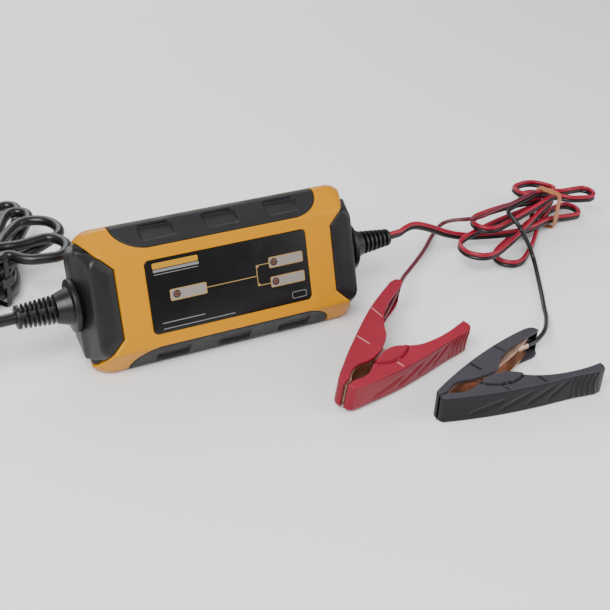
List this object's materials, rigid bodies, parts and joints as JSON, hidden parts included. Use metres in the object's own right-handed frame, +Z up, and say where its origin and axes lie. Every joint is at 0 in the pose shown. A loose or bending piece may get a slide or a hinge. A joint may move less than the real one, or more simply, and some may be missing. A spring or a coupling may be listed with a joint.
{
  "type": "car battery charger",
  "caption": "Hand-sized moulded battery charger with end caps and grips, a tied mains cord with plug, and a tied twin lead to two sprung battery clips.",
  "frame": {"origin": "middle of the flat long side that the case rests on", "axes": "+X along the case towards the output lead, -Y towards the label's side, +Z up"},
  "size_m": [0.4879, 0.3171, 0.069],
  "materials": {
    "case_yellow": "glossy moulded ABS",
    "grip_charcoal": "fine matt",
    "cap_charcoal": "fine grained",
    "zinc_steel": "zinc plated",
    "label_black": "printed film, glossy",
    "lamp_lens": "tinted light pipe, unlit",
    "board_green": "solder mask",
    "chip_white": "moulded",
    "ferrite_grey": "ferrite",
    "winding_tape": "polyester tape",
    "can_sleeve": "shrink sleeve",
    "box_capacitor": "moulded box",
    "fuse_glass": "clear glass tube",
    "tinned_brass": "bright",
    "sink_aluminium": "satin",
    "device_black": "moulded",
    "relief_rubber": "moulded PVC, satin",
    "wire_insulation": "PVC",
    "cord_black": "PVC sheath, satin",
    "tie_plastic": "coated tie",
    "plug_black": "moulded PVC",
    "lead_twin": "PVC, satin",
    "lead_red": "PVC, satin",
    "clip_red": "moulded, satin gloss",
    "clip_black": "moulded, satin gloss",
    "jaw_copper": "copper plated sheet",
    "spring_steel": "bright wire"
  },
  "bodies": {
    "root": {"front_shell": "case_yellow", "rear_shell": "case_yellow", "top_grip": "grip_charcoal", "bottom_grip": "grip_charcoal", "left_end_cap": "cap_charcoal", "right_end_cap": "cap_charcoal", "case_screws": "zinc_steel", "label_panel": "label_black", "power_lamp": "lamp_lens", "upper_lamp": "lamp_lens", "lower_lamp": "lamp_lens", "circuit_board": "board_green", "indicator_chips": "chip_white", "transformer_core": "ferrite_grey", "transformer_winding": "winding_tape", "mains_capacitor": "can_sleeve", "output_capacitors": "can_sleeve", "filter_capacitor": "box_capacitor", "mains_choke": "ferrite_grey", "mains_fuse": "fuse_glass", "fuse_clips": "tinned_brass", "heat_sink": "sink_aluminium", "power_devices": "device_black", "mains_strain_relief": "relief_rubber", "output_strain_relief": "relief_rubber", "mains_wires": "wire_insulation", "output_wires": "wire_insulation", "mains_cord": "cord_black", "mains_hank": "cord_black", "mains_tie": "tie_plastic", "mains_plug": "plug_black", "plug_pins": "tinned_brass", "output_lead": "lead_twin", "output_hank": "lead_twin", "output_tie": "tie_plastic", "red_lead": "lead_red", "black_lead": "cord_black", "red_lead_cover": "clip_red", "red_lead_jaw": "jaw_copper", "red_pivot_pin": "zinc_steel", "red_spring": "spring_steel", "red_crimp": "tinned_brass", "black_lead_cover": "clip_black", "black_lead_jaw": "jaw_copper", "black_pivot_pin": "zinc_steel", "black_spring": "spring_steel", "black_crimp": "tinned_brass"},
    "red_free_arm": {"red_free_cover": "clip_red", "red_free_jaw": "jaw_copper", "red_spring_leg": "spring_steel"},
    "black_free_arm": {"black_free_cover": "clip_black", "black_free_jaw": "jaw_copper", "black_spring_leg": "spring_steel"}
  },
  "joints": [
    {"name": "red_clip_squeeze", "type": "hinge", "parent": "root", "child": "red_free_arm", "pos_m": [0.056, -0.071, 0.00981], "axis": [0.0515, -0.091, 0.9945], "range_deg": [0, 30], "stiffness_Nm_per_rad": 0.25, "springref_deg": -28.65},
    {"name": "black_clip_squeeze", "type": "hinge", "parent": "root", "child": "black_free_arm", "pos_m": [0.099, -0.1065, 0.0075], "axis": [0, 0, 1], "range_deg": [0, 30], "stiffness_Nm_per_rad": 0.25, "springref_deg": -28.65}
  ]
}
